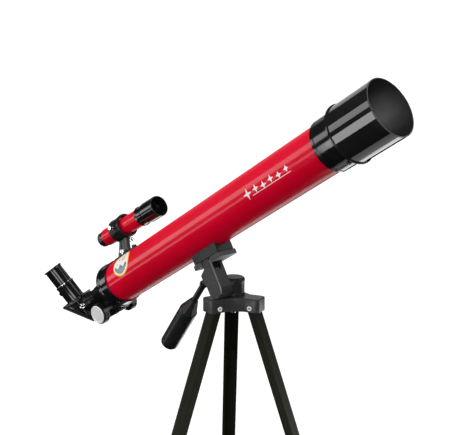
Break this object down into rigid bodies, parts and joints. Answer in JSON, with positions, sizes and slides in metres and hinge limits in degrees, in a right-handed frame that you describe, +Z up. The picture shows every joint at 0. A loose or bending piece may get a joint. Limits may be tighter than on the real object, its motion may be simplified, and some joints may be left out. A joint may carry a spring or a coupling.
{
  "type": "refractor telescope",
  "caption": "Small red achromatic refractor with finder, star diagonal and eyepiece on a pan-and-tilt tabletop tripod with folding, extending legs.",
  "frame": {"origin": "centre of the footprint box, on the ground", "axes": "+Z up; +X towards where the tube points, seen from above"},
  "size_m": [0.6156, 0.2748, 0.6601],
  "materials": {
    "red_paint": "high gloss",
    "gloss_black": "gloss",
    "satin_grey": "satin moulded",
    "leg_metal": "dark anodised",
    "bright_steel": "polished",
    "optical_glass": "coated",
    "mirror_glass": "polished",
    "shoe_rubber": "matt"
  },
  "bodies": {
    "base": {"crown": "satin_grey", "leg_rivet_1": "bright_steel", "leg_rivet_2": "bright_steel", "leg_rivet_3": "bright_steel"},
    "pan_head": {"pan_post": "satin_grey", "pan_bolt": "bright_steel", "tilt_pin": "bright_steel"},
    "telescope": {"tilt_arm": "satin_grey", "platform_plate": "satin_grey", "saddle_block": "satin_grey", "main_tube": "red_paint", "objective_cell": "gloss_black", "cell_screw": "gloss_black", "dew_shield": "gloss_black", "flint_lens": "optical_glass", "crown_lens": "optical_glass", "lens_ring": "gloss_black", "focuser_housing": "gloss_black", "finder_bracket": "gloss_black", "finder_nut_1": "bright_steel", "finder_nut_2": "bright_steel", "finder_tube": "red_paint", "finder_hood": "gloss_black", "finder_lens": "optical_glass"},
    "handle": {"handle_rod": "satin_grey", "handle_grip": "satin_grey"},
    "platform_screw": {"platform_screw": "bright_steel"},
    "drawtube": {"drawtube": "gloss_black"},
    "drawtube_thumbscrew": {"drawtube_thumbscrew": "bright_steel"},
    "focus_shaft": {"pinion_shaft": "bright_steel", "focus_knob_near": "gloss_black", "focus_knob_far": "gloss_black", "knob_cap": "bright_steel"},
    "diagonal": {"diagonal_housing": "gloss_black", "diagonal_nose": "bright_steel", "diagonal_mirror": "mirror_glass", "diagonal_back": "gloss_black"},
    "eyepiece_thumbscrew": {"eyepiece_thumbscrew": "bright_steel"},
    "eyepiece": {"eyepiece_barrel": "bright_steel", "eyepiece_body": "gloss_black", "eye_lens": "optical_glass"},
    "finder_eyepiece": {"finder_eyepiece": "gloss_black"},
    "finder_screw_1": {"finder_screw_1": "bright_steel"},
    "leg_1": {"leg_upper_1": "leg_metal", "leg_clamp_1": "gloss_black"},
    "leg_slider_1": {"leg_lower_1": "leg_metal", "foot_1": "shoe_rubber"},
    "leg_lever_1": {"leg_lever_1": "gloss_black"},
    "finder_screw_2": {"finder_screw_2": "bright_steel"},
    "leg_2": {"leg_upper_2": "leg_metal", "leg_clamp_2": "gloss_black"},
    "leg_slider_2": {"leg_lower_2": "leg_metal", "foot_2": "shoe_rubber"},
    "leg_lever_2": {"leg_lever_2": "gloss_black"},
    "finder_screw_3": {"finder_screw_3": "bright_steel"},
    "leg_3": {"leg_upper_3": "leg_metal", "leg_clamp_3": "gloss_black"},
    "leg_slider_3": {"leg_lower_3": "leg_metal", "foot_3": "shoe_rubber"},
    "leg_lever_3": {"leg_lever_3": "gloss_black"}
  },
  "joints": [
    {"name": "pan", "type": "hinge", "parent": "base", "child": "pan_head", "pos_m": [0.04, 0.02255, 0.37704], "axis": [0, 0, 1], "continuous": true},
    {"name": "tilt", "type": "hinge", "parent": "pan_head", "child": "telescope", "pos_m": [0.042, 0.00135, 0.38974], "axis": [0, -1, 0], "range_deg": [-55, 20]},
    {"name": "handle_twist", "type": "hinge", "parent": "telescope", "child": "handle", "pos_m": [0.01842, -0.00425, 0.39857], "axis": [-0.5864, 0, -0.81], "range_deg": [0, 180]},
    {"name": "platform_screw_turn", "type": "hinge", "parent": "telescope", "child": "platform_screw", "pos_m": [0.03246, 0.00135, 0.40548], "axis": [-0.509, 0, 0.8607], "range_deg": [0, 330]},
    {"name": "focus_slide", "type": "slide", "parent": "telescope", "child": "drawtube", "axis": [-0.8607, 0, -0.509], "range_m": [-0.018, 0.04]},
    {"name": "focus_turn", "type": "hinge", "parent": "telescope", "child": "focus_shaft", "pos_m": [-0.18721, 0.00569, 0.31899], "axis": [-0.0884, 0.9848, 0.1495], "range_deg": [-328.4, 148.3]},
    {"name": "drawtube_screw_turn", "type": "hinge", "parent": "drawtube", "child": "drawtube_thumbscrew", "pos_m": [-0.23632, 0.00135, 0.31855], "axis": [0.0884, -0.9848, -0.1495], "range_deg": [0, 330]},
    {"name": "diagonal_turn", "type": "hinge", "parent": "drawtube", "child": "diagonal", "pos_m": [-0.24191, 0.00135, 0.31524], "axis": [0.8607, 0, 0.509], "continuous": true},
    {"name": "eyepiece_pull", "type": "slide", "parent": "diagonal", "child": "eyepiece", "axis": [-0.472, -0.3746, 0.7981], "range_m": [0, 0.023]},
    {"name": "eyepiece_screw_turn", "type": "hinge", "parent": "diagonal", "child": "eyepiece_thumbscrew", "pos_m": [-0.2761, -0.01157, 0.33219], "axis": [-0.8607, 0, -0.509], "range_deg": [0, 330]},
    {"name": "finder_focus", "type": "hinge", "parent": "telescope", "child": "finder_eyepiece", "pos_m": [-0.17546, 0.01509, 0.43666], "axis": [0.884, 0.0174, 0.4672], "range_deg": [-180, 180]},
    {"name": "finder_screw_turn_1", "type": "hinge", "parent": "telescope", "child": "finder_screw_1", "pos_m": [-0.17546, 0.01509, 0.43666], "axis": [-0.0708, -0.9903, 0.1198], "range_deg": [0, 330]},
    {"name": "finder_screw_turn_2", "type": "hinge", "parent": "telescope", "child": "finder_screw_2", "pos_m": [-0.17546, 0.01509, 0.43666], "axis": [-0.4011, 0.6157, 0.6783], "range_deg": [0, 330]},
    {"name": "finder_screw_turn_3", "type": "hinge", "parent": "telescope", "child": "finder_screw_3", "pos_m": [-0.17546, 0.01509, 0.43666], "axis": [0.472, 0.3746, -0.7981], "range_deg": [0, 330]},
    {"name": "leg_fold_1", "type": "hinge", "parent": "base", "child": "leg_1", "pos_m": [0.0671, 0.03136, 0.36424], "axis": [-0.309, 0.9511, 0], "range_deg": [0, 19]},
    {"name": "leg_extend_1", "type": "slide", "parent": "leg_1", "child": "leg_slider_1", "axis": [0.3096, 0.1006, -0.9455], "range_m": [0, 0.2]},
    {"name": "leg_lever_turn_1", "type": "hinge", "parent": "leg_1", "child": "leg_lever_1", "pos_m": [0.17905, 0.06773, 0.05681], "axis": [-0.309, 0.9511, 0], "range_deg": [0, 75]},
    {"name": "leg_fold_2", "type": "hinge", "parent": "base", "child": "leg_2", "pos_m": [0.01882, 0.04162, 0.36424], "axis": [-0.6691, -0.7431, 0], "range_deg": [0, 19]},
    {"name": "leg_extend_2", "type": "slide", "parent": "leg_2", "child": "leg_slider_2", "axis": [-0.2419, 0.2178, -0.9455], "range_m": [0, 0.2]},
    {"name": "leg_lever_turn_2", "type": "hinge", "parent": "leg_2", "child": "leg_lever_2", "pos_m": [-0.06865, 0.12038, 0.05681], "axis": [-0.6691, -0.7431, 0], "range_deg": [0, 75]},
    {"name": "leg_fold_3", "type": "hinge", "parent": "base", "child": "leg_3", "pos_m": [0.03407, -0.00533, 0.36424], "axis": [0.9781, -0.2079, 0], "range_deg": [0, 19]},
    {"name": "leg_extend_3", "type": "slide", "parent": "leg_3", "child": "leg_slider_3", "axis": [-0.0677, -0.3185, -0.9455], "range_m": [0, 0.2]},
    {"name": "leg_lever_turn_3", "type": "hinge", "parent": "leg_3", "child": "leg_lever_3", "pos_m": [0.0096, -0.12046, 0.05681], "axis": [0.9781, -0.2079, 0], "range_deg": [0, 75]}
  ],
  "couplings": [
    {"joint": "focus_turn", "follows": "focus_slide", "rad_per_m": -142.86}
  ]
}
